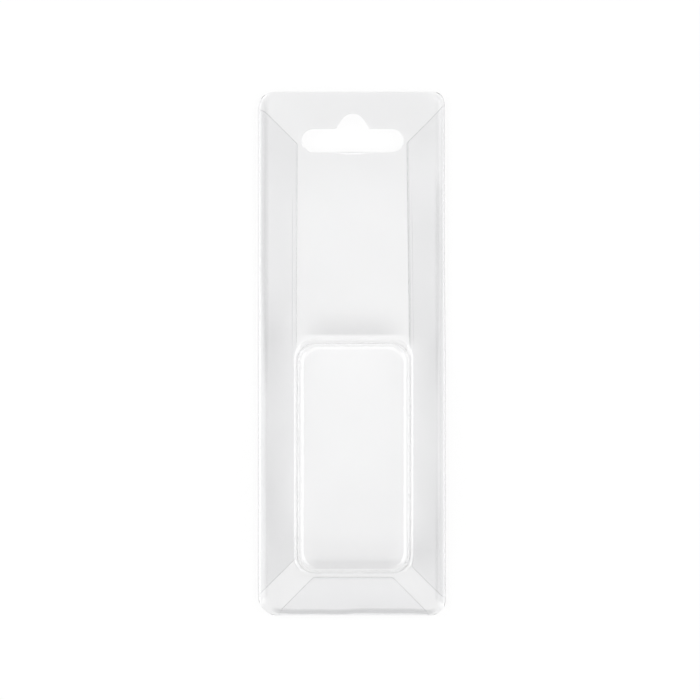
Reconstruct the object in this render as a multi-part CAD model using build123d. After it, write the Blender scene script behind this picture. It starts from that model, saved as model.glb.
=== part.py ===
from build123d import *

import os
from math import cos, radians, sin, tan

# Clear blister tray, in millimetres: one thermoformed sheet with a product pocket, a hang hole and
# three edges folded back under the panel. It lies on its back, with the flaps on the floor at z = 0,
# the pocket upwards (+Z) and the hang hole towards +Y. The origin is the middle of its footprint.
# A backing card slides in from the open top edge, between the panel and the flaps.

# Sheet
sheet_thickness = 0.40  # panel, folds and flaps
pocket_thickness = 0.28  # pocket, thinned where the sheet is drawn into the mould

# Front panel, outside sizes with the edges folded
panel_width = 59.0
panel_length = 164.5
top_corner_radius = 4.2
bottom_corner_radius = 5.2
corner_relief = 0.3  # straight edge left between a rounded corner and the fold beside it

# Folded edges
card_gap = 1.7  # clear height between the panel and the flaps
side_flap_width = 12.2  # from the part's outside edge to the flap's inner edge
bottom_flap_width = 11.9
flap_cut_angle = 45.0  # of a flap's slanted ends, from square across the flap
flap_tip_radius = 0.8

# Pocket, sized on its outside where the walls meet the panel's face
pocket_width = 36.0
pocket_length = 74.0
pocket_depth = 12.0
pocket_margin = 13.2  # from the part's bottom edge to the pocket's lower wall
pocket_corner_radius = 6.2
pocket_draft = 5.0  # degrees
pocket_foot_fillet = 0.8  # outside, between panel and walls
pocket_top_fillet = 1.6  # outside, between walls and top

# Hang hole: a long slot with a round hump in the middle of its upper edge
slot_width = 32.0
slot_height = 7.4
slot_drop = 15.3  # from the part's top edge to the middle of the slot
hump_height = 4.8  # above the slot's upper edge
hump_radius = 4.1
hump_flank_angle = 33.0  # of the hump's straight sides, from upright

overcut = 1.0  # how far a cutting shape runs past what it cuts

# Levels, edges and radii that follow from the sizes above
panel_underside = sheet_thickness + card_gap
panel_top = panel_underside + sheet_thickness
fold_radius = panel_top / 2
fold_inner_radius = fold_radius - sheet_thickness
side_edge = panel_width / 2
top_edge = panel_length / 2
bottom_edge = -panel_length / 2
side_fold_low = bottom_edge + bottom_corner_radius + corner_relief
side_fold_high = top_edge - top_corner_radius - corner_relief
bottom_fold_half = side_edge - bottom_corner_radius - corner_relief
pocket_top = panel_top + pocket_depth
pocket_middle = bottom_edge + pocket_margin + pocket_length / 2
slot_middle = top_edge - slot_drop
slot_top = slot_middle + slot_height / 2


def panel_outline():
    """The front panel seen from above, with its rounded corners."""
    outline = Rectangle(panel_width, panel_length)
    outline = fillet(outline.vertices().group_by(Axis.Y)[-1], top_corner_radius)
    return fillet(outline.vertices().group_by(Axis.Y)[0], bottom_corner_radius)


def flap_outline(start, end, width):
    """A folded edge seen from above, along local X from start to end, with its flap towards +Y.

    The ends slant inwards at the cut angle, and the flap's two tips are rounded.
    """
    slant = width * tan(radians(flap_cut_angle))
    outline = make_face(
        Polyline((start, 0), (end, 0), (end - slant, width), (start + slant, width), (start, 0))
    )
    return fillet(outline.vertices().group_by(Axis.Y)[-1], flap_tip_radius)


def fold_section(width):
    """Section across a folded edge: half a ring open towards +X, then the flap at floor level.

    Local X runs inwards from the part's outside edge, and local Y is the height.
    """
    ring = Circle(fold_radius) - Circle(fold_inner_radius)
    ring -= Pos(fold_radius, 0) * Rectangle(2 * fold_radius, 2 * fold_radius + overcut)
    flap = Rectangle(width - fold_radius, sheet_thickness, align=(Align.MIN, Align.MIN))
    return Pos(fold_radius, fold_radius) * ring + Pos(fold_radius, 0) * flap


def folded_edge(start, end, width):
    """A folded edge along local X, and the strip of flat panel whose place its fold takes."""
    across = Plane(origin=(start, 0, 0), x_dir=(0, 1, 0), z_dir=(1, 0, 0))
    strip = extrude(across * fold_section(width), end - start)
    prism = extrude(Pos(0, 0, -overcut) * flap_outline(start, end, width), panel_top + 2 * overcut)
    rim = Pos((start + end) / 2, fold_radius / 2, panel_top / 2) * Box(end - start, fold_radius, panel_top)
    return strip & prism, rim & prism


def pocket_block(wall, foot, head):
    """The pocket's drafted block from level foot to level head, drawn in by wall from its outside."""
    spread = (panel_top - foot) * tan(radians(pocket_draft)) - wall
    plan = RectangleRounded(
        pocket_width + 2 * spread, pocket_length + 2 * spread, pocket_corner_radius + spread
    )
    block = extrude(Pos(0, pocket_middle, foot) * plan, head - foot, taper=pocket_draft)
    return fillet(block.faces().sort_by(Axis.Z)[-1].edges(), pocket_top_fillet - wall)


def pocket_rim(shell, level):
    """The edges where the pocket's walls meet the panel, at a level of the panel."""
    reach_x = pocket_width / 2 + overcut / 2
    reach_y = pocket_length / 2 + overcut / 2
    return [
        edge
        for edge in shell.edges().filter_by_position(Axis.Z, level, level)
        if abs(edge.center().X) < reach_x and abs(edge.center().Y - pocket_middle) < reach_y
    ]


def hang_hole():
    """Outline of the hang hole: a slot with round ends, and a hump whose flanks touch its round top."""
    flank = radians(hump_flank_angle)
    rise = hump_height - hump_radius
    touch_x = hump_radius * cos(flank)
    touch_y = rise + hump_radius * sin(flank)
    foot_x = touch_x + touch_y * tan(flank)
    flanks = make_face(
        Polyline((-foot_x, 0), (foot_x, 0), (touch_x, touch_y), (-touch_x, touch_y), (-foot_x, 0))
    )
    hump = flanks + Pos(0, rise) * Circle(hump_radius)
    return Pos(0, slot_middle) * SlotOverall(slot_width, slot_height) + Pos(0, slot_top) * hump


def blister_shell():
    """The whole sheet: panel, three folded edges, pocket and hang hole."""
    shell = extrude(Pos(0, 0, panel_underside) * panel_outline(), sheet_thickness)

    # Each edge's own frame has its origin on the part's outside edge and local Y inwards
    left = Plane(origin=(-side_edge, 0, 0), x_dir=(0, -1, 0), z_dir=(0, 0, 1))
    right = Plane(origin=(side_edge, 0, 0), x_dir=(0, 1, 0), z_dir=(0, 0, 1))
    bottom = Plane(origin=(0, bottom_edge, 0), x_dir=(1, 0, 0), z_dir=(0, 0, 1))
    folded_edges = [
        (left, folded_edge(-side_fold_high, -side_fold_low, side_flap_width)),
        (right, folded_edge(side_fold_low, side_fold_high, side_flap_width)),
        (bottom, folded_edge(-bottom_fold_half, bottom_fold_half, bottom_flap_width)),
    ]
    for place, (strip, rim) in folded_edges:
        shell = shell - place * rim + place * strip

    # The pocket's outside is added and rounded at its foot, then its inside is cut away to a wall
    shell += pocket_block(0, panel_top, pocket_top)
    shell = fillet(pocket_rim(shell, panel_top), pocket_foot_fillet)
    shell -= pocket_block(pocket_thickness, panel_underside - overcut, pocket_top - pocket_thickness)
    mouth_fillet = pocket_foot_fillet + (sheet_thickness + pocket_thickness) / 2
    shell = fillet(pocket_rim(shell, panel_underside), mouth_fillet)

    return shell - extrude(
        Pos(0, 0, panel_underside - overcut) * hang_hole(), sheet_thickness + 2 * overcut
    )


os.makedirs("parts", exist_ok=True)
export_step(blister_shell(), "parts/blister_shell.step")
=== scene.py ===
"""A clear folded-edge blister tray: its shell as one drawn, die-cut and folded sheet, and a plain studio."""

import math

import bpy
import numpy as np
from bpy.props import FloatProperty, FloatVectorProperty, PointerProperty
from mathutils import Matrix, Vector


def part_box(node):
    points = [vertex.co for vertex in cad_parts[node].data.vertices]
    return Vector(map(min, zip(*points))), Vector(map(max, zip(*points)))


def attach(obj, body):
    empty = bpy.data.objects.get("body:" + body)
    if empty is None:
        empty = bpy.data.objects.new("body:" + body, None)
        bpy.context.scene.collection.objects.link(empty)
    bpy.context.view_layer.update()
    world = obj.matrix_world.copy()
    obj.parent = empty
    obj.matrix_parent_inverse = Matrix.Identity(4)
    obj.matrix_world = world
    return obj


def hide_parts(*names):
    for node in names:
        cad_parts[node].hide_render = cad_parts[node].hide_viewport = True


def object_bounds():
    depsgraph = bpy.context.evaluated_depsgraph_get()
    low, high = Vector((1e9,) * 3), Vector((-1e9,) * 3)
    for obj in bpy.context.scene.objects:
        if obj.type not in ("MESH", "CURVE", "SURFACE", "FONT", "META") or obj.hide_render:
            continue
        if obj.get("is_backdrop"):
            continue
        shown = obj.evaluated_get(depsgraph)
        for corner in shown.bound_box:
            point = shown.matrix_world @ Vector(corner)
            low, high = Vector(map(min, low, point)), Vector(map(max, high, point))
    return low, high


bl_info = {
    "name": "Clear Blister Tray",
    "version": (1, 0, 0),
    "blender": (4, 5, 0),
    "location": "View3D > Sidebar > Blister Tray",
    "description": "Builds a clear folded-edge blister tray and the studio that it is shown in",
    "category": "Add Mesh",
}

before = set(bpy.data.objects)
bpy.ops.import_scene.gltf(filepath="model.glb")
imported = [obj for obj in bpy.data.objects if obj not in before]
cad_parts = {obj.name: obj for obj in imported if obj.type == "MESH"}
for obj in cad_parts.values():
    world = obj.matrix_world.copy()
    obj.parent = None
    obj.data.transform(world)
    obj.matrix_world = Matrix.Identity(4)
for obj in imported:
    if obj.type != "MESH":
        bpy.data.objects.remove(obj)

SHELL = "blister_shell"
CAD_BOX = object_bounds()
LOW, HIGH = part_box(SHELL)
MM = 0.001
QUARTER = math.pi / 2

# Steps of a fold's section: shoulder, bevel, each half of its turn, and the tight part of an upper turn
SHOULDER_STEPS, BEVEL_STEPS, TURN_STEPS, TIGHT_STEPS = 8, 3, 10, 6
CREST = SHOULDER_STEPS + BEVEL_STEPS + TURN_STEPS
ROOT = CREST + TURN_STEPS
FLAP_STEPS = 9  # from a flap's root to its last rows
FLAT_SPACING = 0.85  # of the rim's rows at an unfolded corner, as a share of their spacing on the fold
CREST_REACH = 0.8  # how far in height a fold's crest stays thin, in millimetres
PANEL_CUT = 0.55  # cut mark of the panel's own cut edges, where a flap's are 1: it sets their painted shade and bulge

# Steps of the pocket's section: foot fillet, wall and top fillet, then the rows that its thickness is given
# at, and the columns of one corner
FOOT_STEPS, WALL_STEPS, BROW_STEPS = 11, 9, 16
WALL_TOP = FOOT_STEPS + WALL_STEPS
THIN_ROWS = (0, 5, FOOT_STEPS, WALL_TOP, 26, WALL_TOP + BROW_STEPS)
ARC_COLUMNS = 24

# Places of the rows between rim and pocket, rim and hang hole, and the pocket top's edge and its middle
RING_PARTS = np.array([0, 0.16, 0.34, 0.52, 0.68, 0.80, 0.89, 0.95, 1.0])[:, None, None]
PANEL_PARTS = np.array([0, 0.12, 0.26, 0.42, 0.58, 0.73, 0.86, 0.94, 0.98, 1.0])[:, None, None]
TOP_PARTS = np.array([1.0, 0.97, 0.94, 0.90, 0.85, 0.78, 0.69, 0.55, 0.37, 0.19])[:, None]
DIVIDE_DROP = 14 * MM  # how far the panel's divide is below the middle between pocket and hang hole

# A flap's last rows: distances from its inner edge, and then shares of its round tips' length
EDGE_MARGINS = np.array([1.45, 1.25, 1.05, 0.65, 0.3]) * MM
TIP_PARTS = np.array([1.0, 0.7, 0.42, 0.2, 0.06, 0.0])
LINE_ROW, EDGE_ROWS = -10, slice(-7, None)  # with the painted shade line beside the edge, and with the edge's painted shade
ARC_SLACK = 1.0001  # keeps rounding from moving the first row of a tip's arc

# Slow waves: height, number in a wave length, direction and phase. Then the wander of the bottom fold's
# painted shade band: how far, and over what length
WAVES = ((0.5, 1.0, 0.83, 0.56, 0.7), (0.35, 1.6, -0.37, 0.93, 2.1), (0.15, 2.9, 0.7, 0.7, 4.0))
WANDER = ((0.12, 6), (0.05, 2.3))

# Heights along the tray where something sets in, and the length over which it does, in millimetres
UPPER_HALF, PINCHED = (-10, 40), (-5, 40)  # the upper section of the side folds, and the right one's pinch
UPPER_END, LOWER_END = (45, 30), (-70, 8)  # where the panel starts to be painted darker towards its upper end, and where its painted darkening at the lower end stops
FLAP_CLEAR, LIP_END = (-2, 8), (40, 16)  # a flap's edge comes clear of the pocket's end, and its lip ends
FLAP_SHADE_LOW, FAINT_LOW = (-64, 16), (-65, 2)  # a flap's extra painted shade beside the fold, and the stretch where its edge's painted shade is fainter
LEFT_OUTER, RIGHT_OUTER = (0.85, 10, 15), (1.2, 0, 8)  # that painted shade's strength, and where it stops
BOW_START = 30 * MM  # from where the panel rises to its bowed upper edge

# Painted shade along the side folds and on the side flaps, as pairs of height in millimetres and strength
LEFT_FOLD_SHADE = (
    (-76, 0.30), (-60, 0.15), (-14, 0.20), (2, 0.75),
    (24, 1.00), (42, 1.00), (62, 0.84), (77, 0.73),
)
RIGHT_FOLD_SHADE = (
    (-76, 0.50), (-60, 0.60), (-44, 0.25), (-16, 0.10),
    (2, 0.60), (50, 0.75), (58, 0.15), (77, 0.15),
)
LEFT_FLAP_SHADE = (
    (-82, 0.15), (-60, 0.62), (-42, 0.66), (-20, 0.32), (-5, 0.62),
    (5, 0.74), (12, 0.45), (24, 0.20), (80, 0.15),
)
RIGHT_FLAP_SHADE = (
    (-70, 0.15), (-62, 0.80), (-50, 0.42), (-36, 0.24), (-20, 0.30),
    (5, 0.60), (24, 0.38), (38, 0.36), (56, 0.02),
)

# Bands of painted shade across a fold, in shoulder lengths: start, rise, end and fall
LEFT_BAND, RIGHT_BAND, BOTTOM_BAND = (0, 1 / 1.1, 1.1, 0.35), (0.1, 0.45, 0.8, 0.8), (0, 0.625, 1.1, 0.2)
# Strengths of the bottom fold's painted shade band, and of the painted shade on the right fold past its
# shoulder
BOTTOM_FOLD_SHADE, RIGHT_TURN_SHADE = 1.25, 0.6

# Painted shade on the panel beyond the pocket's upper end, painted darkening towards the panel's two ends,
# and painted shade on the pocket's upper foot. Then the painted shade of the line and the patch on the lower
# end of the pocket's top, and how much fainter they are at its sides
POCKET_END_SHADE, UPPER_DARKENING, LOWER_DARKENING, FOOT_SHADE = 0.85, 0.27, 0.15, 0.4
TOP_END_SHADE_LINE, TOP_END_SHADE, TOP_END_SHADE_FADE = 0.5, 0.4, 0.6
CUT_FADE = 0.85  # how much fainter a flap's edge mark, with its painted shade and bulge, is under the pocket's wall

ARC_POINTS, LOOP_POINTS = 200, 2000  # of the hang hole's arcs, and of its whole outline
EDGE_STEPS = 6  # round a cut edge
WELD = 0.002 * MM  # width of the cells in which points are one point

# The studio. Cards are a corner and two sides, and the surround a radius and two heights, in card heights
CEILING = ((-0.44, -3, 1), (0.88, 0, 0), (0, 5, 0))
SIDE_PANEL = ((1.3, -0.9, 0.18), (-0.83, 0, 0.975), (0, 1.65, 0))
PANEL_FADE = (0.94, 1.155)  # heights between which the side panels fade
SURROUND_RADIUS, SURROUND_HEIGHTS = 3.1, np.array([-0.05, 1.94])[:, None, None]
CARD_COLUMNS, CARD_ROWS, SURROUND_COLUMNS = 5, 9, 48
CARD_DARK = 0.05  # of the ceiling card's lower end, as a share of its grey
LAMP_PLACE, LAMP_SIZE = (1.5, 0.1, 1.3), (1.0, 2.0)  # in metres
FLOOR_LEVEL, FLOOR_RINGS, FLOOR_COLUMNS = -0.1 * MM, 8, 96  # just below the flaps
WHITE = (1.0, 1.0, 1.0, 1.0)


# Settings


def millimetres(name, description, default):
    """A length that a user can change, written here in millimetres and held in metres."""
    return FloatProperty(
        name=name, description=description, default=default * MM, unit="LENGTH", precision=5
    )


def metres(name, description, default):
    """A length that a user can change, in metres."""
    return FloatProperty(name=name, description=description, default=default, unit="LENGTH", precision=4)


def degrees(name, description, default):
    """An angle that a user can change, written here in degrees and held in radians."""
    return FloatProperty(
        name=name, description=description, default=math.radians(default), unit="ROTATION"
    )


def number(name, description, default, most=1000.0):
    """A plain number from zero up that a user can change."""
    return FloatProperty(name=name, description=description, default=default, min=0.0, max=most)


def colour(name, description, default):
    """A colour that a user can change."""
    return FloatVectorProperty(
        name=name, description=description, default=default, subtype="COLOR", min=0.0, max=1.0
    )


class TraySheet(bpy.types.PropertyGroup):
    """The sheet itself, and the faults that forming leaves in it."""

    thickness: millimetres("Thickness", "Thickness of the panel, folds and flaps", 0.40)
    drawn_thickness: millimetres("Drawn thickness", "Thickness of the pocket's top", 0.28)
    wall_thickness: millimetres("Wall thickness", "Thickness of the pocket's walls, lower down", 0.12)
    foot_thickness: millimetres("Foot thickness", "Thickness where the panel meets the pocket", 0.20)
    edge_bulge: millimetres("Edge bulge", "How far a cut edge stands proud at its middle", 0.16)
    wave_height: millimetres("Wave height", "Height of the slow waves in the sheet", 0.11)
    bow: millimetres("Bow", "How far the middle of the panel's upper edge stands up", 0.7)
    wave_length: millimetres("Wave length", "Length of the slow waves in the sheet", 58.0)
    spacing: millimetres("Spacing", "Distance between mesh points along the outline", 0.9)


class TrayPanel(bpy.types.PropertyGroup):
    """The front panel seen from above, with its edges folded."""

    width: metres("Width", "Outside width at its widest", HIGH.x - LOW.x)
    length: metres("Length", "Outside length", HIGH.y - LOW.y)
    top_left: millimetres("Top left radius", "Corner radius", 5.3)
    top_right: millimetres("Top right radius", "Corner radius", 4.0)
    bottom_left: millimetres("Bottom left radius", "Corner radius", 6.4)
    bottom_right: millimetres("Bottom right radius", "Corner radius", 5.3)
    relief: millimetres("Relief", "Straight edge between a corner and the fold beside it", 0.2)
    underside: millimetres("Underside", "Height of the panel's underside above the flaps' outer faces", 2.1)
    pinch: millimetres("Pinch", "How much tighter the right fold is in its upper half", 0.25)


class TrayFold(bpy.types.PropertyGroup):
    """The folded edges, from the panel round to the flaps' inner edges."""

    side_shoulder: millimetres("Side shoulder", "Stretch in which the panel turns down to a side bevel", 1.5)
    side_bevel: millimetres("Side bevel", "Sloping stretch before a side's turn", 1.6)
    side_slope: degrees("Side slope", "Slope of a side's bevel", 13.5)
    upper_shoulder: millimetres("Upper shoulder", "The same stretch in the tray's upper half", 2.3)
    upper_bevel: millimetres("Upper bevel", "The same stretch in the tray's upper half", 1.07)
    tight_radius: millimetres("Tight radius", "Radius of the first part of an upper half's turn", 0.35)
    tight_turn: degrees("Tight turn", "Slope at which that part ends", 50.0)
    bottom_shoulder: millimetres("Bottom shoulder", "The same stretch at the bottom", 1.6)
    bottom_bevel: millimetres("Bottom bevel", "The same stretch at the bottom", 0.3)
    bottom_slope: degrees("Bottom slope", "Slope of the bottom's bevel", 22.0)
    root_lift: millimetres("Root lift", "Height of a flap's root above its inner edge", 0.15)
    side_flap: millimetres("Side flap", "Outside edge to a side flap's inner edge", 12.2)
    bottom_flap: millimetres("Bottom flap", "Outside edge to the bottom flap's inner edge", 11.9)
    left_skew: millimetres("Left skew", "How much narrower the left flap is at its lower end", 0.5)
    right_skew: millimetres("Right skew", "How much narrower the right flap is at its lower end", 1.7)
    crest: millimetres("Crest thickness", "Thickness of the sheet where a fold is at its widest", 0.26)
    cut_angle: degrees("Cut angle", "Slant of a flap's ends", 45.0)
    tip_radius: millimetres("Tip radius", "Rounding of a flap's tips", 0.8)
    lip: millimetres("Lip", "How far the left flap's inner edge curls up", 0.25)
    top_fade: millimetres("Top fade", "Distance past a fold's end over which a top corner flattens", 8.0)
    bottom_fade: millimetres("Bottom fade", "The same distance at a bottom corner", 4.0)


class TrayPocket(bpy.types.PropertyGroup):
    """The product pocket, sized on its outside where its walls meet the panel's face."""

    width: millimetres("Width", "Outside width at its foot", 36.0)
    length: millimetres("Length", "Outside length at its foot", 72.5)
    margin: millimetres("Margin", "Tray's bottom edge to the pocket's lower wall", 13.2)
    shift: millimetres("Shift", "How far the pocket is off the tray's middle, to the right", 0.52)
    corner: millimetres("Corner", "Corner radius at its foot", 5.9)
    taper: number("Corner taper", "Share of the walls' lean by which the corners get tighter", 0.25, 1.0)
    draft: degrees("Draft", "Lean of the walls", 6.0)
    foot: millimetres("Foot fillet", "Fillet between panel and walls at the sheet's middle", 1.2)
    brow: millimetres("Top fillet", "Fillet between walls and top at the sheet's middle", 1.5)
    upper_foot: millimetres("Upper foot fillet", "The foot fillet at the pocket's upper end", 2.3)
    upper_brow: millimetres("Upper top fillet", "The top fillet at the pocket's upper end", 1.7)
    upper_draft: degrees("Upper draft", "Lean of the wall at the pocket's upper end", 2.0)
    crown: millimetres("Crown", "Height of the top's middle above its edge", 0.60)
    lean: degrees("Lean", "Slope of the top down towards the hang hole", 0.6)


class TrayHole(bpy.types.PropertyGroup):
    """The hang hole: a slot with round ends, and a hump in the middle of its upper edge."""

    width: millimetres("Width", "Slot's width from end to end", 32.0)
    height: millimetres("Height", "Slot's height", 7.4)
    drop: millimetres("Drop", "Tray's top edge to the middle of the slot", 15.3)
    shift: millimetres("Shift", "How far the slot is off the tray's middle, to the right", 0.2)
    hump: millimetres("Hump", "Height of the hump above the slot", 4.8)
    hump_radius: millimetres("Hump radius", "Radius of the hump's round top", 4.1)
    flank: degrees("Flank", "Lean of the hump's sides from upright", 33.0)


class TrayFinish(bpy.types.PropertyGroup):
    """The finish of the clear sheet, with the darker colours of the shade painted on it."""

    tint: colour("Tint", "Colour of the clear sheet", (0.992, 0.992, 0.995))
    # The next two colours are painted shade: darker tints laid along the folds, over patches of the panel,
    # pocket and flaps, and on the cut edges
    painted_shade: colour("Crease", "Colour along the creases", (0.84, 0.84, 0.845))
    cut: colour("Cut edge", "Colour of the cut edges", (0.38, 0.38, 0.39))
    refraction: number("Refraction", "Refractive index of the sheet", 1.57, 3.0)
    body: colour("Body", "Colour of the light left after a long way inside the sheet", (0.80, 0.83, 0.84))
    density: number("Density", "How fast the body colour is reached, for each metre", 60.0)
    polish: number("Polish", "Roughness of the clean sheet", 0.02, 1.0)
    scuff: number("Scuff", "Roughness where the sheet is scuffed", 0.09, 1.0)


class TrayStage(bpy.types.PropertyGroup):
    """The studio: floor, cards, lamps and camera."""

    floor_radius: metres("Floor", "Radius of the floor", 6.0)
    card_height: metres("Card height", "Height of the grey card that the sheet mirrors from above", 10.0)
    card_grey: number("Card grey", "How bright the grey card looks in the sheet, right above it", 0.30, 1.0)
    card_far: number("Card far end", "How bright the card gets beyond the tray's upper end", 2.4, 5.0)
    panels: number("Side panels", "How bright the white side panels look in the sheet", 2.6, 5.0)
    surround: number("Surround", "How bright the low surround looks in the sheet", 0.42, 1.0)
    card_turn: metres("Card turn", "How far beyond the tray's middle the card gets dark", 0.32)
    floor_glow: number("Floor glow", "How bright the floor looks by itself", 0.88, 5.0)
    floor_through: number("Floor through", "Share of it that is seen by gloss and through glass", 0.955, 1.0)
    floor_grey: number("Floor grey", "Share of the light that the floor gives back", 0.11, 1.0)
    world: number("World", "Light from all round", 0.8, 10.0)
    lamps: number("Lamps", "Power of the two soft lamps, in watts", 14.0)
    camera_height: metres("Camera height", "Height of the camera above the floor", 5.0)
    frame_width: millimetres("Frame width", "Width of the picture at the panel", 219.8)
    aim_x: millimetres("Aim across", "Where the camera looks", -0.63)
    aim_y: millimetres("Aim along", "Where the camera looks", 1.16)


GROUPS = {
    "tray_sheet": TraySheet,
    "tray_panel": TrayPanel,
    "tray_fold": TrayFold,
    "tray_pocket": TrayPocket,
    "tray_hole": TrayHole,
    "tray_finish": TrayFinish,
    "tray_stage": TrayStage,
}


# Curves and sections


def smooth(value):
    """0 below 0, 1 above 1, and 3v^2 - 2v^3 between them."""
    value = np.clip(value, 0, 1)
    return value * value * (3 - 2 * value)


def ramp(value, start, size):
    """0 up to start, then smoothly up to 1 over size: the value in metres, the others in millimetres."""
    return smooth((value / MM - start) / size)


def band(value, start, rise, end, fall):
    """Rises smoothly from 0 to 1 from start on, over rise, and falls back from end on, over fall."""
    return smooth((value - start) / rise) * (1 - smooth((value - end) / fall))


def strength_at(heights, stops):
    """Strength at heights along the tray, in straight lines between pairs of height and strength."""
    return np.interp(heights / MM, *np.transpose(stops))


def circle(angles):
    """Unit vectors at angles from the x axis, counterclockwise."""
    return np.stack([np.cos(angles), np.sin(angles)], axis=-1)


def bent_section(stretches):
    """Section of a bending sheet: rows of distance along it, reach across and fall.

    Each stretch is (length, slope at its end, steps), and the slope turns evenly along it, so it is an arc or
    a straight run. Reach and fall are the running integrals of the slope's cosine and sine. For an even
    turn from a to b they are length (sin b - sin a) / (b - a) and length (cos a - cos b) / (b - a).
    """
    rows, slope = [np.zeros((1, 3))], 0.0
    for size, end, steps in stretches:
        part = np.linspace(0, 1, steps + 1)[1:]
        turned = slope + (end - slope) * part
        if abs(end - slope) < 1e-9:
            reach, fall = size * part * math.cos(slope), size * part * math.sin(slope)
        else:
            rate = size / (end - slope)
            reach = rate * (np.sin(turned) - math.sin(slope))
            fall = rate * (math.cos(slope) - np.cos(turned))
        rows.append(rows[-1][-1] + np.stack([size * part, reach, fall], axis=1))
        slope = end
    return np.concatenate(rows)


def straight(stops, spacing):
    """Positions from the first stop up to the last, at most spacing apart, that include the other stops."""
    runs = [
        np.linspace(a, b, math.ceil(abs(b - a) / spacing) + 1)[:-1] for a, b in zip(stops, stops[1:])
    ]
    return np.concatenate(runs)


def side_points(at, positions, inward):
    """Points of a straight side, each with the direction that points into the panel."""
    fixed = np.full(len(positions), at)
    points = (fixed, positions) if inward[0] else (positions, fixed)
    return np.hstack([np.stack(points, axis=1), np.tile(inward, (len(positions), 1))])


def quarter(centre, radius, start, steps=22):
    """Points of a round corner, counterclockwise from an angle, each with the direction to its centre."""
    way = circle(start + np.linspace(0, QUARTER, steps + 1)[:-1])
    return np.hstack([np.array(centre) + radius * way, -way])


def index_of(points, place):
    """Index of the point nearest to a place."""
    return int(np.argmin(np.linalg.norm(points[:, :2] - place, axis=1)))


def on_rays(loop, centre, targets, marks):
    """The loop's points on the rays from a centre through the targets.

    The loop is read as a function of the angle about the centre. The ray nearest a mark goes to the mark.
    """
    def angles(points):
        return np.arctan2(points[:, 1] - centre[1], points[:, 0] - centre[0])

    loop = loop[np.argsort(angles(loop))]
    around = angles(loop)
    unrolled = np.concatenate([around - 2 * math.pi, around, around + 2 * math.pi])
    wanted = angles(targets)
    for value in angles(marks):
        wanted[np.argmin(np.abs(wanted - value))] = value
    return np.stack([np.interp(wanted, unrolled, np.tile(loop[:, axis], 3)) for axis in (0, 1)], axis=1)


# The shell's middle surface


class Net:
    """A middle surface of grids of points. Each point has a place, a thickness and an amount of painted
    shade.
    """

    def __init__(self):
        self.rows, self.quads, self.triangles, self.count = [], [], [], 0

    def add(self, plan, height, thickness, painted_shade=0.0, closed=False, flip=False):
        """Adds a grid: plan is rows x columns x 2, and the rest follow its rows and columns."""
        shape = plan.shape[:2]
        layers = [np.broadcast_to(layer, shape) for layer in (height, thickness, painted_shade)]
        self.rows.append(np.concatenate([plan, np.stack(layers, axis=-1)], axis=-1).reshape(-1, 5))
        index = self.count + np.arange(shape[0] * shape[1]).reshape(shape)
        near = index if closed else index[:, :-1]
        far = np.roll(index, -1, axis=1) if closed else index[:, 1:]
        quads = np.stack([near[:-1], far[:-1], far[1:], near[1:]], axis=-1).reshape(-1, 4)
        self.quads.append(quads[:, ::-1] if flip else quads)
        self.count += index.size
        return index

    def close(self, ring, place):
        """Closes a ring of points with triangles to a point in its middle."""
        self.rows.append(np.array([place]))
        middle = np.full(len(ring), self.count)
        self.triangles.append(np.stack([ring, np.roll(ring, -1), middle], axis=-1))
        self.count += 1

    def welded(self):
        """Points, quads and triangles, with points at the same place made one.

        Points are the same where they share a cell of a fine grid, which is shifted off the planes through 0.
        """
        rows = np.concatenate(self.rows)
        keys = np.floor(rows[:, :3] / WELD + 0.37).astype(np.int64)
        first, where = np.unique(keys, axis=0, return_index=True, return_inverse=True)[1:]
        where = where.reshape(-1)
        quads, triangles = (where[np.concatenate(faces)] for faces in (self.quads, self.triangles))
        return rows[first], quads, triangles


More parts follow.
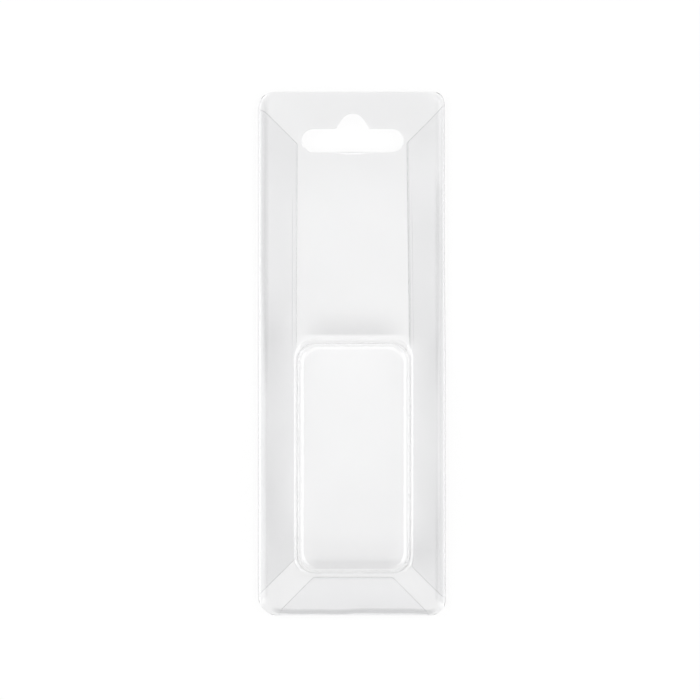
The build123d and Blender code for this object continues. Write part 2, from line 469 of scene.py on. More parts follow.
class Tray:
    """The tray's middle surface, worked out from the settings."""

    def __init__(self, settings):
        self.sheet, self.panel, self.fold = settings.tray_sheet, settings.tray_panel, settings.tray_fold
        self.pocket, self.hole = settings.tray_pocket, settings.tray_hole
        self.half = np.array([self.panel.width / 2, self.panel.length / 2])
        self.level = self.panel.underside + self.sheet.thickness / 2
        self.flap_level = self.sheet.thickness / 2
        self.pocket_middle = -self.half[1] + self.pocket.margin + self.pocket.length / 2
        self.hole_middle = np.array([self.hole.shift, self.half[1] - self.hole.drop])
        self.pocket_end = self.pocket_middle + self.pocket.length / 2
        self.divide = (self.pocket_end + self.hole_middle[1]) / 2 - DIVIDE_DROP
        self.net = Net()
        f = self.fold
        self.side = self.fold_section(f.side_shoulder, f.side_bevel, f.side_slope, f.side_flap)
        self.bottom = self.fold_section(f.bottom_shoulder, f.bottom_bevel, f.bottom_slope, f.bottom_flap)
        self.tight = self.tight_section()
        self.lay_outline()

    def fold_section(self, shoulder, bevel, slope, width):
        """A fold's section, of shoulder, bevel, a turn of even radius and the flap, and the flap's length.

        The turn's radius takes up what shoulder and bevel leave of the drop from panel to flap. The flap
        slopes down from its root to its inner edge, because a fold in clear sheet springs open a little. Its
        run is half as long again as the flap, so that it can be read past the edge.
        """
        lift = self.fold.root_lift
        start = [(shoulder, slope, SHOULDER_STEPS), (bevel, slope, BEVEL_STEPS)]
        drop = self.level - self.flap_level - lift
        radius = (drop - bent_section(start)[-1, 2]) / (1 + math.cos(slope))
        free = width - self.sheet.thickness / 2 - radius
        rest = math.pi - math.asin(lift / free)
        down = (radius * (QUARTER - slope), QUARTER, TURN_STEPS)
        back = (radius * (rest - QUARTER), rest, TURN_STEPS)
        return bent_section([*start, down, back, (free * 1.5, rest, 1)]), free

    def tight_section(self):
        """The side folds' section in the upper half: a tight turn, then a wide one to the same crest."""
        f, fall = self.fold, self.side[0][CREST, 2]
        slope, turn = f.side_slope, f.tight_turn
        start = [(f.upper_shoulder, slope, SHOULDER_STEPS), (f.upper_bevel, slope, BEVEL_STEPS)]
        left = fall - bent_section(start)[-1, 2] - f.tight_radius * (math.cos(slope) - math.cos(turn))
        tight = (f.tight_radius * (turn - slope), turn, TIGHT_STEPS)
        wide = (left / math.cos(turn) * (QUARTER - turn), QUARTER, TURN_STEPS - TIGHT_STEPS)
        return bent_section([*start, tight, wide])

    def inset(self, section, along):
        """Distance inwards from the outside edge, and the fall below the panel, along a fold's section."""
        reach = np.interp(along, section[:, 0], section[:, 1])
        fall = np.interp(along, section[:, 0], section[:, 2])
        return self.sheet.thickness / 2 + section[CREST, 1] - reach, fall

    def lay_outline(self):
        """The outline seen from above, counterclockwise from the left end of the divide.

        Each point has a place, the direction into the panel, and how folded the sheet is there: 1 on a fold,
        and falling smoothly to 0 past its ends. The corners are taken counterclockwise from the lower left.
        """
        p, (w, h) = self.panel, self.half
        radii = [p.bottom_left, p.bottom_right, p.top_right, p.top_left]
        signs = np.array([(-1, -1), (1, -1), (1, 1), (-1, 1)])
        free = self.half - np.array(radii)[:, None]
        arcs = signs * free
        x, y = arcs.T
        end_x, end_y = (signs * (free - p.relief)).T
        stops = [
            (-w, (1, 0), (self.divide, end_y[0], y[0])),
            (-h, (0, 1), (x[0], end_x[0], end_x[1], x[1])),
            (w, (-1, 0), (y[1], end_y[1], self.divide, end_y[2], y[2])),
            (h, (0, -1), (x[2], x[3])),
            (-w, (1, 0), (y[3], end_y[3], self.divide)),
        ]
        sides = [side_points(at, straight(row, self.sheet.spacing), inward) for at, inward, row in stops]
        corners = map(quarter, arcs, radii, (math.pi, 3 * QUARTER, 0, QUARTER))
        turns = [part for pair in zip(sides, corners) for part in pair]
        loop = np.concatenate([*turns, sides[-1]])
        self.place, self.inward = loop[:, :2], loop[:, 2:]
        self.right_divide = index_of(loop, (w, self.divide))
        bottom = [(across, -h) for across in end_x[:2]]
        ends = [(-w, end_y[3]), (-w, end_y[0]), *bottom, (w, end_y[1]), (w, end_y[2])]
        self.ends = [index_of(loop, end) for end in ends]
        step = np.linalg.norm(np.roll(self.place, -1, axis=0) - self.place, axis=1)
        along, around = np.concatenate([[0], np.cumsum(step)[:-1]]), step.sum()
        a, b, c, d, e, f = along[self.ends]
        folds = np.array([(a - around, b), (c, d), (e, f), (a, b + around)])
        past = np.maximum(folds[:, :1] - along, along - folds[:, 1:]).clip(0).min(axis=0)
        fade = np.where(self.place[:, 1] > 0, self.fold.top_fade, self.fold.bottom_fade)
        self.folded = 1 - smooth(past / fade)

    def lay_rim(self):
        """The rim: the outline carried inwards along the fold's section, from its crest to the flat panel.

        At a corner the section is blended with a flat one, by how folded the sheet is there. The sides'
        section turns into the bottom's by the square of how far the outline faces that way.
        """
        tracks = []
        for section in (self.side[0], self.tight, self.bottom[0]):
            along = section[CREST::-1, 0]
            inset, fall = self.inset(section, along)
            flat = PANEL_CUT**2 * self.sheet.edge_bulge + FLAT_SPACING * (along[0] - along)
            tracks.append(np.stack([inset, fall, flat, along / section[SHOULDER_STEPS, 0]])[..., None])
        side, upper, bottom = tracks
        side = side + (upper - side) * ramp(self.place[:, 1], *UPPER_HALF)
        low = self.inward[:, 1].clip(0) ** 2
        inset, fall, flat, share = side + (bottom - side) * low
        inset = self.folded * inset + (1 - self.folded) * flat
        plan = self.place + inset[..., None] * self.inward
        height = self.level - self.folded * fall
        # Painted shade along the folds and over patches of the panel
        marks = self.folded * self.painted_fold_shade(share, low) + self.painted_darkening(plan)
        self.net.add(plan, height, self.fold_thickness(height), marks, closed=True)
        self.inner = plan[-1]
        left, right = self.inner[0], self.inner[self.right_divide]
        columns = math.ceil((right - left)[0] / self.sheet.spacing)
        self.divide_line = np.linspace(left, right, columns + 1)[1:-1]

    def fold_thickness(self, height):
        """The sheet's thickness, which is least at the height of the folds' crests."""
        away = np.abs(height - self.level + self.side[0][CREST, 2])
        return self.fold.crest + (self.sheet.thickness - self.fold.crest) * ramp(away, 0, CREST_REACH)

    def painted_fold_shade(self, share, low):
        """Painted shade across the rim: a band at the shoulder's outer end, or in its middle on the right.

        Share is 0 at the shoulder's start and 1 at its end. The right fold is painted darker from there
        outwards too. The bottom's band wanders to and fro.
        """
        x, y = self.place.T
        left = band(share, *LEFT_BAND) * strength_at(y, LEFT_FOLD_SHADE)
        right = band(share, *RIGHT_BAND) * strength_at(y, RIGHT_FOLD_SHADE)
        right += RIGHT_TURN_SHADE * smooth((share - 0.95) / 0.3)
        wander = sum(size * np.sin(x / MM / length) for size, length in WANDER)
        side = np.where(x < 0, left, right)
        return side + (BOTTOM_FOLD_SHADE * band(share + wander, *BOTTOM_BAND) - side) * low

    def lay_pocket(self):
        """The panel's lower part and the pocket.

        The panel runs in straight lines from the rim to the pocket's foot. The pocket's sections are carried
        along a rectangle whose corners are arcs about the ends of its straight sides. Its top shrinks to its
        middle, and is higher there by the crown: the crown's height times 1 - x^4 and 1 - y^2, with x and y
        from -1 to 1 across the top, less its own value on the corners' arcs.
        """
        pocket, sheet = self.pocket, self.sheet
        foot, wall, drawn = sheet.foot_thickness, sheet.wall_thickness, sheet.drawn_thickness
        outer = np.concatenate([self.inner[: self.right_divide + 1], self.divide_line[::-1]])
        half = np.array([pocket.width, pocket.length]) / 2
        middle = np.array([pocket.shift, self.pocket_middle])
        tilt = math.tan(pocket.lean) * half[1]
        peak = pocket.crown + tilt**2 / (4 * pocket.crown)
        rise = HIGH.z - sheet.wave_height - drawn / 2 - peak - self.level
        lower, climb = self.pocket_section(pocket.foot, pocket.brow, pocket.draft, rise)
        upper, upper_climb = self.pocket_section(
            pocket.upper_foot, pocket.upper_brow, pocket.upper_draft, rise
        )
        corners, way = self.pocket_columns(outer - middle, half)
        radius = pocket.corner - pocket.taper * (lower[0] - lower)
        up, facing_up = (1 + corners[:, 1]) / 2, way[:, 1].clip(0) ** 2
        x = corners[:, 0] * (half[0] + lower - radius) + radius * way[:, 0]
        y = up * (half[1] + upper - radius) - (1 - up) * (half[1] + lower - radius) + radius * way[:, 1]
        climb = climb + (upper_climb - climb) * facing_up
        plan = np.stack([x, y], axis=-1)

        ring = outer + (plan[0] + middle - outer) * RING_PARTS
        nearer = smooth((RING_PARTS[..., 0] - 0.3) / 0.7)
        thin = sheet.thickness + (foot - sheet.thickness) * nearer
        # Painted shade over patches of the panel
        self.net.add(ring, self.level, thin, self.painted_darkening(ring), closed=True)

        thin = (foot, 1.3 * wall, wall, 1.1 * wall, 1.7 * wall, drawn)
        thin = np.interp(np.arange(len(plan)), THIN_ROWS, thin)[:, None]
        low_end, high_end = half[1] + lower[-1, 0], half[1] + upper[-1, 0]
        # Painted shade: the panel's patches where the pocket is still low, its upper foot, and the top's
        # lower end
        marks = (self.painted_darkening(plan + middle) + FOOT_SHADE * facing_up) * (climb < 0.4 * MM)
        marks = marks + self.top_end_shade(y + low_end, x)
        height = self.level + climb * (1 - tilt * y / half[1] / rise)
        self.net.add(plan + middle, height, thin, marks, closed=True)

        top = plan[-1] * TOP_PARTS[..., None]
        side = half[0] + lower[-1, 0]
        end = np.where(top[..., 1] > 0, high_end, low_end)
        crown = pocket.crown * (1 - (top[..., 0] / side) ** 4) * (1 - (top[..., 1] / end) ** 2)
        height = self.level + rise - tilt * top[..., 1] / half[1] + crown - crown[0] * TOP_PARTS**4
        # Painted shade on the top's lower end
        marks = self.top_end_shade(top[..., 1] + low_end, top[..., 0])
        index = self.net.add(top + middle, height, drawn, marks, closed=True)
        self.net.close(index[-1], (*middle, self.level + rise + pocket.crown, drawn, 0.0))

    def pocket_section(self, foot, brow, draft, rise):
        """The pocket's section: rows of distance outwards from the walls' nominal foot, and of climb.

        A foot fillet from level to the wall's slope, the wall, and a top fillet back to level. An arc of
        radius r from slope a to b covers r (sin b - sin a) across and r (cos a - cos b) in height, and the
        foot's begins r tan(slope / 2) outside the place where the wall would meet the level.
        """
        slope, sheet = QUARTER - draft, self.sheet
        wall = (rise - (foot + brow) * (1 - math.cos(slope))) / math.sin(slope)
        section = bent_section(
            [(foot * slope, slope, FOOT_STEPS), (wall, slope, WALL_STEPS), (brow * slope, 0.0, BROW_STEPS)]
        )
        start = foot * math.tan(slope / 2) + sheet.thickness / 2 * math.tan(draft)
        start -= sheet.drawn_thickness / 2 / math.cos(draft)
        return start - section[:, 1:2], section[:, 2:3]

    def pocket_columns(self, outer, half):
        """Corner blend and outward direction of each column of the pocket.

        Each corner arc has the same number of columns, about the ray from the pocket's middle through it, and
        the straight sides share the others evenly.
        """
        count, knots = len(outer), np.arange(9)
        turned = np.arctan2(outer[:, 1], outer[:, 0])
        signs = np.array([(-1, -1), (1, -1), (1, 1), (-1, 1)])
        aims = np.arctan2(signs[:, 1] * half[1], signs[:, 0] * half[0])
        apart = np.abs(np.angle(np.exp(1j * (turned[:, None] - aims))))
        centres = np.argmin(apart, axis=0)
        centres = centres + np.where(centres < centres[0], count, 0)
        stops = np.stack([centres - ARC_COLUMNS / 2, centres + ARC_COLUMNS / 2], axis=1).ravel()
        column = np.arange(count) + np.where(np.arange(count) < stops[0], count, 0)
        share = np.interp(column, [*stops, stops[0] + count], knots)
        corner_x = np.interp(share, knots, (-1, -1, 1, 1, 1, 1, -1, -1, -1))
        corner_y = np.interp(share, knots, (-1, -1, -1, -1, 1, 1, 1, 1, -1))
        angle = QUARTER * np.interp(share, knots, (2, 3, 3, 4, 4, 5, 5, 6, 6))
        return np.stack([corner_x, corner_y], axis=1), circle(angle)

    def painted_darkening(self, plan):
        """Painted shade of the panel: a patch beyond the pocket's upper end, and painted darkening at both
        ends.

        The patch begins beyond the pocket's foot fillet, fades over 13 mm, and is full over the middle 14 mm
        and gone 19 mm from it.
        """
        x, y = plan[..., 0], plan[..., 1]
        beyond = y - self.pocket_end - 1.9 * MM
        pocket_end_shade = ramp(beyond, 0, 1) * (1 - ramp(beyond, 0, 13)) ** 2
        pocket_end_shade *= 1 - ramp(np.abs(x - self.pocket.shift), 7, 12)
        low = 1 - ramp(y, *LOWER_END)
        return POCKET_END_SHADE * pocket_end_shade + UPPER_DARKENING * ramp(y, *UPPER_END) + LOWER_DARKENING * low

    def top_end_shade(self, inside, across):
        """Painted shade on the pocket top's lower end, by the distance inside that end and from the middle.

        A line as wide as the top fillet's upper half, and a patch that fades over 13 mm.
        """
        mark = TOP_END_SHADE_LINE * (1 - ramp(inside, 0.9, 1.8)) + TOP_END_SHADE * (1 - ramp(inside, 0, 13))
        return mark * ramp(inside, -1.6, 0.8) * (1 - TOP_END_SHADE_FADE * ramp(np.abs(across), 10, 6))

    def hole_outline(self):
        """The hang hole as a dense loop with the two sharp feet of its hump.

        The straight flanks touch the hump's arc where its radius leans from the level as far as they lean
        from upright.
        """
        hole, end = self.hole, self.hole.height / 2
        lift = np.array([0, hole.hump - hole.hump_radius])
        touch = hole.hump_radius * circle(hole.flank) + lift
        foot = touch[0] + touch[1] * math.tan(hole.flank)
        cap = end * circle(np.linspace(-QUARTER, QUARTER, ARC_POINTS)) + (hole.width / 2 - end, 0)
        hump = hole.hump_radius * circle(np.linspace(hole.flank, math.pi - hole.flank, ARC_POINTS))
        feet = np.array([(foot, end), (-foot, end)])
        knots = np.concatenate([cap, feet[:1], hump + lift + (0, end), feet[1:], -cap, cap[:1]])
        along = np.concatenate([[0], np.cumsum(np.linalg.norm(np.diff(knots, axis=0), axis=1))])
        fine = np.unique(np.concatenate([along, np.linspace(0, along[-1], LOOP_POINTS)]))
        loop = np.stack([np.interp(fine, along, knots[:, axis]) for axis in (0, 1)], axis=1)
        return loop[:-1] + self.hole_middle, feet + self.hole_middle

    def lay_upper_panel(self):
        """The panel's upper part, in straight lines from the rim to the hang hole's edge."""
        outer = np.concatenate([self.inner[self.right_divide :], self.inner[:1], self.divide_line])
        loop, feet = self.hole_outline()
        ring = outer + (on_rays(loop, self.hole_middle, outer, feet) - outer) * PANEL_PARTS
        # Painted shade over patches of the panel
        self.net.add(ring, self.level, self.sheet.thickness, self.painted_darkening(ring), closed=True)

    def lay_flap(self, first, last, fold, skew=(0.0, 0.0), over=(0.0, 0.0), lip=0.0, line=0.0, edge=0.0):
        """A flap from the fold's crest, under the panel, to its inner edge.

        Its columns keep their share of the way between two ends that slant inwards as the flap gets further
        from the edge, and that turn into the inner edge by an arc. Skew is how much narrower the flap is at
        its ends, and over how far they reach beyond the fold's. Line and edge are strengths of painted shade,
        beside the inner edge and along it.
        """
        f, (section, free) = self.fold, fold
        count = len(self.place)
        columns = np.arange(first, last + 1 if last > first else last + 1 + count) % count
        place, inward = self.place[columns], self.inward[columns]
        travel = np.array([inward[0, 1], -inward[0, 0]])
        along = place @ travel
        share = (along - along[0]) / (along[-1] - along[0])
        tip = f.tip_radius / math.tan((QUARTER + f.cut_angle) / 2)
        tail = tip * math.cos(f.cut_angle)
        free = free - skew[0] * (1 - share) - skew[1] * share
        margin = np.concatenate([EDGE_MARGINS, tail * TIP_PARTS])[:, None]
        body = np.linspace(0, 1, FLAP_STEPS + 1)[1:-1, None] * (free - margin[0])
        bend = section[CREST : ROOT + 1, :1] + 0 * share
        rows = np.concatenate([bend, section[ROOT, 0] + body, section[ROOT, 0] + free - margin])
        inset, fall = self.inset(section, rows)
        depth = inset - self.sheet.thickness / 2
        out = ramp(depth, 0, 2)
        slant = depth * math.tan(f.cut_angle)
        past = (depth - depth[-1] + f.tip_radius).clip(0)
        arc = depth[-1] * math.tan(f.cut_angle) + tip - np.sqrt((f.tip_radius**2 - past**2).clip(0))
        slant = np.where(depth > depth[-1] - tail * ARC_SLACK, arc, slant)
        low = along[0] + (slant - over[0] * out)[:, :1]
        high = along[-1] - (slant - over[1] * out)[:, -1:]
        shift = low + (high - low) * share - along
        plan = place + inset[..., None] * inward + shift[..., None] * travel
        y = plan[..., 1]
        clear = ramp(y, *FLAP_CLEAR)
        down = (1 - ramp(y, *LIP_END)) * clear
        height = self.level - fall + lip * down * (1 - ramp(depth[-1] - depth, 0, 1.6))
        # Painted shade on the side flaps, more near the fold than near the inner edge, where it can fall
        # below zero and lighten the tint; then a line beside the inner edge and a band along it
        at_side = smooth(np.abs(inward[:, 0]) * 2)
        painted_darkening, outer = (RIGHT_FLAP_SHADE, RIGHT_OUTER) if inward[0, 0] < 0 else (LEFT_FLAP_SHADE, LEFT_OUTER)
        more = outer[0] * (1 - ramp(y, *outer[1:])) * ramp(y, *FLAP_SHADE_LOW)
        marks = at_side * strength_at(y, painted_darkening) * ramp(depth, 0, 4) * (1 + more * (1 - 2 * depth / depth[-1]))
        marks[LINE_ROW] += line * down[LINE_ROW]
        marks[EDGE_ROWS] += edge * (1 - at_side * (1 - clear[EDGE_ROWS]))
        self.net.add(plan, height, self.fold_thickness(height), marks, flip=True)

    def settle(self, rows):
        """Moves the points as forming does: slow waves, a bowed upper edge, and a pinched upper right fold.

        The waves are a sum of sines of the place in plan. They and the bow fade from the panel down to the
        flaps, which lie flat. The bow is a parabola across the tray. The pinch grows over the last 6 mm to
        the right edge.
        """
        x, y, z = rows[:, 0], rows[:, 1], rows[:, 2]
        turn = 2 * math.pi / self.sheet.wave_length
        wave = sum(size * np.sin(turn * rate * (a * x + b * y) + phase) for size, rate, a, b, phase in WAVES)
        root = self.flap_level + self.fold.root_lift
        lifted = np.clip((z - root) / (self.level - root), 0, 1)
        rows[:, 2] += self.sheet.wave_height * wave * lifted
        upper = smooth((y - BOW_START) / (self.half[1] - BOW_START) / 2) * 2
        rows[:, 2] += self.sheet.bow * upper * (1 - (x / self.half[0]) ** 2).clip(0) * lifted
        rows[:, 0] -= self.panel.pinch * ramp(x - self.half[0], -6, 6) * ramp(y, *PINCHED)
        return rows

    def build(self):
        """Points, quads and triangles of the whole middle surface."""
        self.lay_rim()
        self.lay_pocket()
        self.lay_upper_panel()
        left_high, left_low, foot_left, foot_right, right_low, right_high = self.ends
        f, over = self.fold, np.array([(1.05, 0.0), (0.8, 0.4), (0.4, 0.0)]) * MM
        # Line and edge set the painted shade beside and along each flap's inner edge
        self.lay_flap(
            left_high, left_low, self.side, (0.0, f.left_skew), over[0], lip=f.lip, line=0.7, edge=0.2
        )
        self.lay_flap(foot_left, foot_right, self.bottom, over=over[1], edge=0.4)
        self.lay_flap(
            right_low, right_high, self.side, (f.right_skew, 0.0), over[2], line=0.5, edge=0.75
        )
        rows, quads, triangles = self.net.welded()
        # The cut mark sets the painted shade on the cut edges and how far they bulge
        cut = np.where(rows[:, 2] > self.panel.underside - 1 * MM, PANEL_CUT, self.flap_cut(rows))
        return np.hstack([self.settle(rows), cut[:, None]]), quads, triangles

    def flap_cut(self, rows):
        """Cut mark of the flaps' edges, which sets the shade painted on them and their bulge: 1, but faint
        where a side flap's edge is under the pocket's wall.
        """
        inside = self.half[0] - self.fold.side_flap
        x, y = np.abs(rows[:, 0]), rows[:, 1]
        beside = (x > inside - 1 * MM) & (x < inside + self.fold.right_skew + 0.6 * MM)
        return 1 - CUT_FADE * beside * (1 - ramp(y, *FLAP_CLEAR)) * ramp(y, *FAINT_LOW)


# The shell as a closed solid


def point_normals(points, quads, triangles):
    """Normals of the points: the sum of the faces' area vectors, made one long."""
    normals = np.zeros_like(points)
    for faces in (quads, triangles):
        corner = points[faces]
        area = np.cross(corner[:, 2] - corner[:, 0], corner[:, -1] - corner[:, 1])
        for column in faces.T:
            np.add.at(normals, column, area)
    return normals / np.linalg.norm(normals, axis=1, keepdims=True)


def open_edges(quads, triangles):
    """Edges that only one face has, each in the direction in which its face has it."""
    pairs = [np.stack([faces, np.roll(faces, -1, axis=1)], axis=-1) for faces in (quads, triangles)]
    edges = np.concatenate([pair.reshape(-1, 2) for pair in pairs])
    size = edges.max() + 1
    ahead, back = edges[:, 0] * size + edges[:, 1], edges[:, 1] * size + edges[:, 0]
    return edges[~np.isin(ahead, back)]


def thicken(rows, quads, triangles, bulge):
    """A closed shell about a middle surface: rows of place, thickness, painted shade and cut mark, then quads
    and triangles.

    The faces are moved half the thickness to both sides along the normals. Each open edge gets a wall, whose
    section is half an ellipse from one side to the other, as deep as bulge times the cut mark's square. The
    wall's points carry the cut mark, by which the material paints shade on the cut edges.
    """
    points, half, painted_shade, cut = rows[:, :3], rows[:, 3:4] / 2, rows[:, 4:5], rows[:, 5:6]
    normals = point_normals(points, quads, triangles)
    edges = open_edges(quads, triangles)
    run = points[edges[:, 1]] - points[edges[:, 0]]
    away = np.zeros_like(points)
    for column in edges.T:
        np.add.at(away, column, np.cross(run, normals[column]))
    rim = np.unique(edges)
    out = away[rim] / np.linalg.norm(away[rim], axis=1, keepdims=True)
    count, none = len(points), np.zeros_like(half)
    layers = [
        np.hstack([points + normals * half, painted_shade, none]),
        np.hstack([points - normals * half, painted_shade, none]),
    ]
    for turned in np.linspace(0, math.pi, EDGE_STEPS + 1)[1:-1]:
        wall = points[rim] + normals[rim] * half[rim] * math.cos(turned)
        wall += out * bulge * cut[rim] ** 2 * math.sin(turned)
        layers.append(np.hstack([wall, painted_shade[rim], cut[rim]]))
    at = np.zeros(count, np.int64)
    at[rim] = np.arange(len(rim))
    starts = 2 * count + len(rim) * np.arange(EDGE_STEPS - 1)
    a, b = ([end, *(start + at[end] for start in starts), end + count] for end in edges.T)
    walls = [np.stack([b[i], a[i], a[i + 1], b[i + 1]], axis=1) for i in range(EDGE_STEPS)]
    quads = np.concatenate([quads, quads[:, ::-1] + count, *walls])
    return np.concatenate(layers), quads, np.concatenate([triangles, triangles[:, ::-1] + count])


def mesh_from(name, points, quads, triangles=None, marks=None):
    """A smooth mesh of quads and triangles, with the named point marks as attributes."""
    triangles = np.zeros((0, 3), np.int64) if triangles is None else triangles
    mesh = bpy.data.meshes.new(name)
    sizes = np.concatenate([np.full(len(quads), 4), np.full(len(triangles), 3)])
    corners = np.concatenate([quads.ravel(), triangles.ravel()])
    mesh.vertices.add(len(points))
    mesh.vertices.foreach_set("co", np.ascontiguousarray(points, np.float32).ravel())
    mesh.loops.add(len(corners))
    mesh.loops.foreach_set("vertex_index", corners.astype(np.int32))
    mesh.polygons.add(len(sizes))
    mesh.polygons.foreach_set("loop_start", np.concatenate([[0], np.cumsum(sizes)[:-1]]).astype(np.int32))
    mesh.update(calc_edges=True)
    mesh.validate()
    for label, values in (marks or {}).items():
        layer = mesh.attributes.new(label, "FLOAT", "POINT")
        layer.data.foreach_set("value", np.ascontiguousarray(values, np.float32))
    mesh.shade_smooth()
    return mesh


def show(name, mesh, material):
    """An object of a mesh and a material, at the origin."""
    piece = bpy.data.objects.new(name, mesh)
    mesh.materials.append(material)
    bpy.context.scene.collection.objects.link(piece)
    return piece


# Materials


def node_in(tree, kind, inputs=None, **options):
    """A node with its options and input values set, and its linked inputs joined to other nodes' outputs."""
    node = tree.nodes.new(kind)
    for option, value in options.items():
        setattr(node, option, value)
    for socket, value in (inputs or {}).items():
        if isinstance(value, bpy.types.NodeSocket):
            tree.links.new(value, node.inputs[socket])
        else:
            node.inputs[socket].default_value = value
    return node


def new_material(name):
    """An empty material and its node tree."""
    material = bpy.data.materials.new(name)
    material.use_nodes = True
    material.node_tree.nodes.clear()
    return material, material.node_tree


def graded(tree, value, low, high, start, end):
    """Output running evenly from start, where the value is low, to end, where it is high, and no further."""
    inputs = {"Value": value, "From Min": low, "From Max": high, "To Min": start, "To Max": end}
    return node_in(tree, "ShaderNodeMapRange", inputs).outputs[0]


def white_glow(tree, strength):
    """The output of a white glow."""
    return node_in(tree, "ShaderNodeEmission", {"Color": WHITE, "Strength": strength}).outputs[0]


def glowing_card(name, axis, low, high, start, end):
    """A white glow whose strength runs from start to end between two places on an axis."""
    material, tree = new_material(name)
    where = node_in(tree, "ShaderNodeTexCoord").outputs["Object"]
    place = node_in(tree, "ShaderNodeSeparateXYZ", {"Vector": where}).outputs[axis]
    glow = white_glow(tree, graded(tree, place, low, high, start, end))
    node_in(tree, "ShaderNodeOutputMaterial", {"Surface": glow})
    return material


def solid_colour(value):
    """A colour property as red, green, blue and a full alpha."""
    return (*value, 1.0)


def clear_sheet(finish):
    """Clear PET with painted shade: its tint is darker along the folds, over patches of the panel, pocket and
    flaps, and on its cut edges. It has soft scuffs and a faint ripple.
    """
    material, tree = new_material("Clear sheet")
    where = node_in(tree, "ShaderNodeTexCoord").outputs["Object"]
    painted_shade = node_in(tree, "ShaderNodeAttribute", attribute_name="painted_shade").outputs["Fac"]
    cut = node_in(tree, "ShaderNodeAttribute", attribute_name="cut").outputs["Fac"]

    # Painted shade: the tint is darkened by the first mark, and on the cut edges by the cut mark
    shaded_tint = node_in(tree, "ShaderNodeMix", {"Factor": painted_shade}, data_type="RGBA", clamp_factor=False)
    shaded_tint.inputs["A"].default_value = solid_colour(finish.tint)
    shaded_tint.inputs["B"].default_value = solid_colour(finish.painted_shade)
    tinted = node_in(tree, "ShaderNodeMix", {"Factor": cut}, data_type="RGBA")
    tree.links.new(shaded_tint.outputs["Result"], tinted.inputs["A"])
    tinted.inputs["B"].default_value = solid_colour(finish.cut)

    # Scuffs: the high part of a stretched noise, so that most of the sheet stays polished
    stretched = node_in(tree, "ShaderNodeMapping", {"Vector": where, "Scale": (1.0, 0.25, 1.0)})
    noise = node_in(
        tree,
        "ShaderNodeTexNoise",
        {"Vector": stretched.outputs["Vector"], "Scale": 260.0, "Detail": 4.0, "Roughness": 0.6},
    )
    scuffed = graded(tree, noise.outputs["Fac"], 0.55, 0.8, finish.polish, finish.scuff)
    ripple = node_in(tree, "ShaderNodeTexNoise", {"Vector": where, "Scale": 90.0, "Detail": 1.0})
    bump = node_in(
        tree,
        "ShaderNodeBump",
        {"Height": ripple.outputs["Fac"], "Strength": 0.25, "Distance": 0.03 * MM},
    )
    sheet = node_in(
        tree,
        "ShaderNodeBsdfPrincipled",
        {
            "Base Color": tinted.outputs["Result"],
            "Roughness": scuffed,
            "IOR": finish.refraction,
            "Transmission Weight": 1.0,
            "Normal": bump.outputs["Normal"],
        },
    )
    inside = node_in(
        tree,
        "ShaderNodeVolumeAbsorption",
        {"Color": solid_colour(finish.body), "Density": finish.density},
    )
    node_in(
        tree,
        "ShaderNodeOutputMaterial",
        {"Surface": sheet.outputs["BSDF"], "Volume": inside.outputs["Volume"]},
    )
    return material


def seen_share(tree, through=1.0):
    """1 for rays from the camera, through for rays by gloss or through glass, and 0 for the others."""
    path = node_in(tree, "ShaderNodeLightPath").outputs
    share = path["Is Glossy Ray"]
    for other, operation in (
        (path["Is Transmission Ray"], "MAXIMUM"),
        (through, "MULTIPLY"),
        (path["Is Camera Ray"], "MAXIMUM"),
    ):
        share = node_in(tree, "ShaderNodeMath", {0: share, 1: other}, operation=operation).outputs[0]
    return share


def white_floor(stage):
    """A pale floor that keeps a soft shadow, and that looks white to the camera, to gloss and through glass.

    It is clear from below, so that it doesn't hide the tray's back.
    """
    material, tree = new_material("White floor")
    seen = seen_share(tree, stage.floor_through)
    glow = white_glow(tree, graded(tree, seen, 0.0, 1.0, 0.0, stage.floor_glow))
    paper = node_in(tree, "ShaderNodeBsdfDiffuse", {"Color": (*[stage.floor_grey] * 3, 1.0)})
    both = node_in(tree, "ShaderNodeAddShader", {0: glow, 1: paper.outputs[0]})
    below = node_in(tree, "ShaderNodeNewGeometry").outputs["Backfacing"]
    clear = node_in(tree, "ShaderNodeBsdfTransparent")
    sides = {0: below, 1: both.outputs[0], 2: clear.outputs[0]}
    one_sided = node_in(tree, "ShaderNodeMixShader", sides)
    node_in(tree, "ShaderNodeOutputMaterial", {"Surface": one_sided.outputs[0]})
    return material


def white_panel(stage):
    """A white panel that fades to the ceiling card's grey towards its upper edge."""
    low, high = (share * stage.card_height for share in PANEL_FADE)
    return glowing_card("White panel", "Z", low, high, stage.panels, stage.card_grey)


def ceiling_card(stage):
    """A card that is grey above the tray, dark beyond its lower end and bright beyond its upper end."""
    dark = CARD_DARK * stage.card_grey
    bright_at = (stage.card_far - stage.card_grey) * stage.card_turn / (stage.card_grey - dark)
    return glowing_card("Ceiling card", "Y", -stage.card_turn, bright_at, dark, stage.card_far)


def grey_surround(stage):
    """An even grey that gives the sheet something to mirror when it is seen from low down."""
    material, tree = new_material("Grey surround")
    node_in(tree, "ShaderNodeOutputMaterial", {"Surface": white_glow(tree, stage.surround)})
    return material


# Operators


class TRAY_OT_shell(bpy.types.Operator):
    """Build the tray's shell from its settings"""

    bl_idname = "tray.shell"
    bl_label = "Build Shell"

    def execute(self, context):
        scene = context.scene
        rows, quads, triangles = Tray(scene).build()
        rows, quads, triangles = thicken(rows, quads, triangles, scene.tray_sheet.edge_bulge)
        # Both marks carry painted shade, the second one on the cut edges
        marks = {"painted_shade": rows[:, 3], "cut": rows[:, 4]}
        mesh = mesh_from("blister_sheet", rows[:, :3], quads, triangles, marks)
        piece = show("blister_sheet", mesh, clear_sheet(scene.tray_finish))
        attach(piece, "root")
        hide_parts(SHELL)
        return {"FINISHED"}


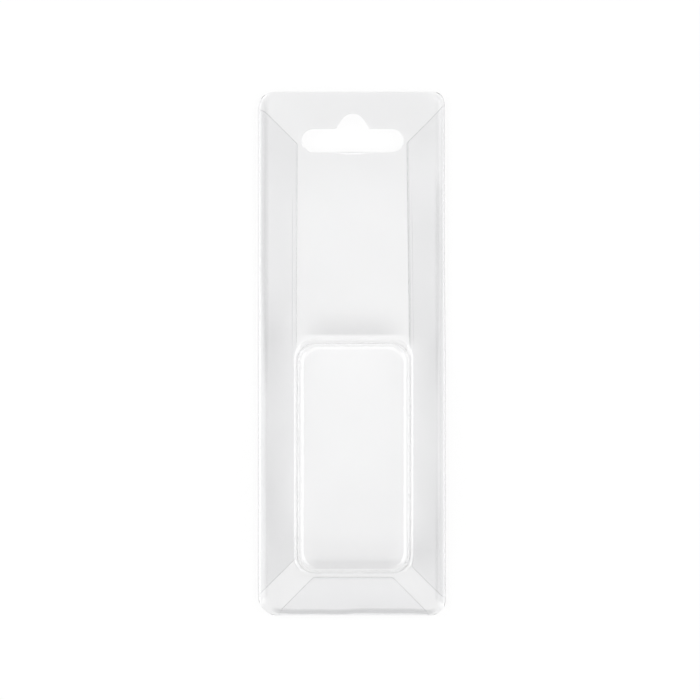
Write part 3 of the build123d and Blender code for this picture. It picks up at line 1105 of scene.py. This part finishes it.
class TRAY_OT_stage(bpy.types.Operator):
    """Build the floor, the cards, the lamps, the world and the camera"""

    bl_idname = "tray.stage"
    bl_label = "Build Stage"

    def execute(self, context):
        scene, stage = context.scene, context.scene.tray_stage
        scene.view_settings.view_transform = "Standard"
        self.lay_floor(stage)
        self.hang_cards(stage)
        self.light_world(scene, stage)
        self.place_lamps(scene, stage)
        self.place_camera(scene, stage)
        return {"FINISHED"}

    def lay_floor(self, stage):
        """A round floor: rings whose radius grows with the square of their number."""
        turned = np.linspace(0, 2 * math.pi, FLOOR_COLUMNS + 1)[:-1]
        radius = stage.floor_radius * (np.arange(FLOOR_RINGS, 0, -1) / FLOOR_RINGS) ** 2
        net = Net()
        index = net.add(radius[:, None, None] * circle(turned), FLOOR_LEVEL, 0.0, closed=True)
        net.close(index[-1], (0.0, 0.0, FLOOR_LEVEL, 0.0, 0.0))
        rows, quads, triangles = net.welded()
        mesh = mesh_from("floor", rows[:, :3], quads, triangles)
        show("floor", mesh, white_floor(stage))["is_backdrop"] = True

    def hang(self, name, points, material):
        """A card from a grid of points. Only gloss sees it."""
        index = np.arange(points[..., 0].size).reshape(points.shape[:2])
        quads = np.stack([index[:-1, :-1], index[1:, :-1], index[1:, 1:], index[:-1, 1:]], axis=-1)
        card = show(name, mesh_from(name, points.reshape(-1, 3), quads.reshape(-1, 4)), material)
        for rays in ("camera", "diffuse", "transmission", "shadow"):
            setattr(card, "visible_" + rays, False)
        card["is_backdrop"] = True

    def hang_cards(self, stage):
        """A ceiling card, a leaning white panel on each side, and a low grey wall all round behind them."""
        top = stage.card_height
        u, v = np.meshgrid(np.linspace(0, 1, CARD_COLUMNS), np.linspace(0, 1, CARD_ROWS))
        ceiling, panel = (
            top * (np.array(corner) + u[..., None] * across + v[..., None] * along)
            for corner, across, along in (CEILING, SIDE_PANEL)
        )
        self.hang("ceiling_card", ceiling, ceiling_card(stage))
        material = white_panel(stage)
        self.hang("panel_left", panel * (-1, 1, 1), material)
        self.hang("panel_right", panel, material)
        ring = SURROUND_RADIUS * circle(np.linspace(0, 2 * math.pi, SURROUND_COLUMNS + 1))
        wall = np.hstack([ring, 0 * ring[:, :1]]) + SURROUND_HEIGHTS * (0, 0, 1)
        self.hang("surround", top * wall, grey_surround(stage))

    def light_world(self, scene, stage):
        """White to the camera, to gloss and through glass, and a plain level of light otherwise."""
        world = bpy.data.worlds.new("Studio")
        world.use_nodes = True
        tree = world.node_tree
        tree.nodes.clear()
        level = graded(tree, seen_share(tree), 0.0, 1.0, stage.world, 1.0)
        sky = node_in(tree, "ShaderNodeBackground", {"Color": WHITE, "Strength": level})
        node_in(tree, "ShaderNodeOutputWorld", {"Surface": sky.outputs[0]})
        scene.world = world

    def place_lamps(self, scene, stage):
        """Two soft lamps, left and right of the tray and turned to it."""
        reach, along, height = LAMP_PLACE
        for name, across in (("lamp_left", -reach), ("lamp_right", reach)):
            data = bpy.data.lights.new(name, "AREA")
            data.shape = "RECTANGLE"
            data.size, data.size_y = LAMP_SIZE
            data.energy = stage.lamps
            lamp = bpy.data.objects.new(name, data)
            lamp.location = (across, along, height)
            lamp.rotation_euler = (0.0, math.atan2(across, height), 0.0)
            lamp.visible_camera = False
            lamp.visible_glossy = False
            scene.collection.objects.link(lamp)

    def place_camera(self, scene, stage):
        """A long lens that looks straight down."""
        data = bpy.data.cameras.new("camera")
        height = stage.camera_height
        panel = scene.tray_panel.underside + scene.tray_sheet.thickness
        data.lens = data.sensor_width * (height - panel) / stage.frame_width
        camera = bpy.data.objects.new("camera", data)
        camera.location = (stage.aim_x, stage.aim_y, height)
        scene.collection.objects.link(camera)
        scene.camera = camera


class TRAY_PT_settings(bpy.types.Panel):
    """The tray's settings and the buttons that build it"""

    bl_idname = "TRAY_PT_settings"
    bl_label = "Blister Tray"
    bl_space_type = "VIEW_3D"
    bl_region_type = "UI"
    bl_category = "Blister Tray"

    def draw(self, context):
        for label, group in GROUPS.items():
            box = self.layout.box()
            box.label(text=label.replace("tray_", "").capitalize())
            for setting in group.__annotations__:
                box.prop(getattr(context.scene, label), setting)
        for operator in OPERATORS:
            self.layout.operator(operator.bl_idname)


OPERATORS = (TRAY_OT_shell, TRAY_OT_stage)
CLASSES = (*GROUPS.values(), *OPERATORS, TRAY_PT_settings)


def register():
    """Registers the classes and hangs the settings on the scene."""
    for cls in CLASSES:
        bpy.utils.register_class(cls)
    for label, group in GROUPS.items():
        setattr(bpy.types.Scene, label, PointerProperty(type=group))


def unregister():
    """Takes the settings and the classes away again."""
    for label in GROUPS:
        delattr(bpy.types.Scene, label)
    for cls in reversed(CLASSES):
        bpy.utils.unregister_class(cls)


def main():
    """Builds the stage and the tray."""
    register()
    bpy.ops.tray.stage()
    bpy.ops.tray.shell()
    sizes = {"cad": CAD_BOX, "visual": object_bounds()}
    sizes = {name: [list(corner) for corner in box] for name, box in sizes.items()}


if __name__ == "__main__":
    main()
